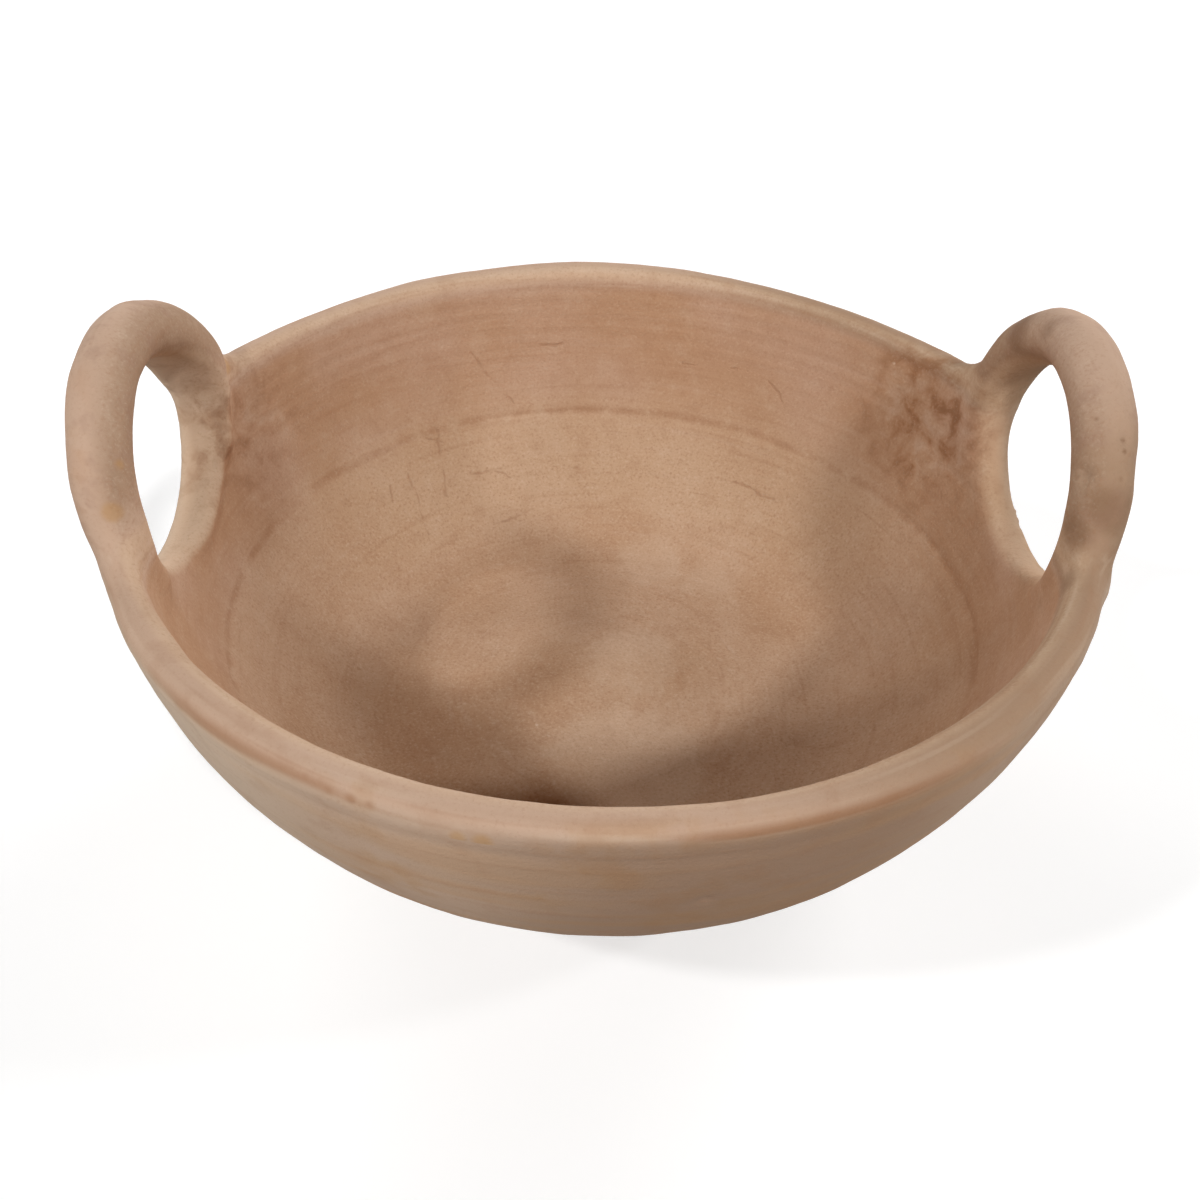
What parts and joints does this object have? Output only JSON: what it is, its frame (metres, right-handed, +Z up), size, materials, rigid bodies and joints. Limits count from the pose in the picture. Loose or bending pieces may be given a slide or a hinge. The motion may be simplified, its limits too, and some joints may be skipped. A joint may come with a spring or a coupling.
{
  "type": "handled bowl",
  "caption": "Wide round hand-built earthenware bowl, unglazed, with a flat base, a rolled rim and an upright arched handle over a round finger opening on each side.",
  "frame": {"origin": "the middle of the flat base, on the surface that the bowl stands on", "axes": "+Z up, along the bowl's axis; the handles stand at -X and +X; -Y is the front, nearest the camera"},
  "size_m": [0.2718, 0.2702, 0.1489],
  "materials": {
    "bowl_clay": "unglazed low-fired earthenware, hand-smoothed, matt",
    "rolled_clay": "unglazed low-fired earthenware, rolled coil wiped with wet fingers, matt",
    "smeared_clay": "unglazed low-fired earthenware, joint clay smeared with the fingers, matt"
  },
  "bodies": {
    "root": {"lower_bowl": "bowl_clay", "upper_wall": "bowl_clay", "front_rim_roll": "rolled_clay", "back_rim_roll": "rolled_clay", "left_handle": "rolled_clay", "right_handle": "rolled_clay", "left_front_wad": "smeared_clay", "left_back_wad": "smeared_clay", "right_front_wad": "smeared_clay", "right_back_wad": "smeared_clay"}
  },
  "joints": []
}
